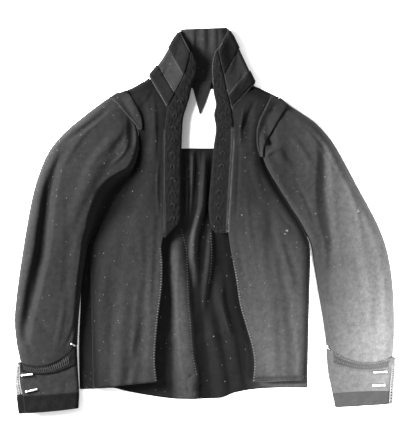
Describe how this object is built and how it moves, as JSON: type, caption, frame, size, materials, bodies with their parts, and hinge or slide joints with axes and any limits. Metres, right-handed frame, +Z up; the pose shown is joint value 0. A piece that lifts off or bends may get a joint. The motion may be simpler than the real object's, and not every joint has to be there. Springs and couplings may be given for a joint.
{
  "type": "stand-collar wool jacket",
  "caption": "Short fulled-wool jacket with a tall folded collar, velvet-edged fronts, full sleeves and deep cuffs, lying open on its back.",
  "frame": {"origin": "middle of the jacket's outline, on the surface it lies on", "axes": "+X to the right as seen from above, +Y towards the collar, +Z up from the surface"},
  "size_m": [0.612, 0.616, 0.0384],
  "materials": {
    "wool": "fulled wool, matt",
    "velvet": "cotton velvet, matt",
    "linen": "plain-woven lining, matt",
    "lace": "narrow cotton lace, matt",
    "metal": "worn white metal"
  },
  "bodies": {
    "root": {"back_yoke": "wool", "yoke_lining": "linen", "neck_facing": "wool", "back_skirt": "wool", "front_left": "wool", "front_right": "wool", "sleeve_left_upper": "wool", "sleeve_left_under": "wool", "sleeve_right_upper": "wool", "sleeve_right_under": "wool", "shoulder_wing_left": "wool", "shoulder_wing_right": "wool", "collar": "wool", "collar_trim_low_left": "velvet", "collar_trim_top_left": "velvet", "collar_trim_low_right": "velvet", "collar_trim_top_right": "velvet", "front_band_left": "velvet", "front_band_right": "velvet", "hook_1": "metal", "hook_2": "metal", "hook_3": "metal", "hook_4": "metal", "hook_5": "metal", "hook_6": "metal", "hook_7": "metal", "hook_8": "metal", "hook_9": "metal", "hook_10": "metal", "eye_1": "metal", "eye_2": "metal", "eye_3": "metal", "eye_4": "metal", "eye_5": "metal", "eye_6": "metal", "eye_7": "metal", "eye_8": "metal", "eye_9": "metal", "eye_10": "metal", "cuff_left": "wool", "cuff_trim_left": "velvet", "cuff_hem_left": "velvet", "cuff_right": "wool", "cuff_trim_right": "velvet", "cuff_hem_right": "velvet", "cuff_clasp_left_upper": "metal", "cuff_clasp_left_lower": "metal", "cuff_clasp_left_seam": "metal", "cuff_clasp_right_upper": "metal", "cuff_clasp_right_lower": "metal", "cuff_clasp_right_seam": "metal", "cuff_lace_left": "lace", "cuff_lace_right": "lace"}
  },
  "joints": []
}
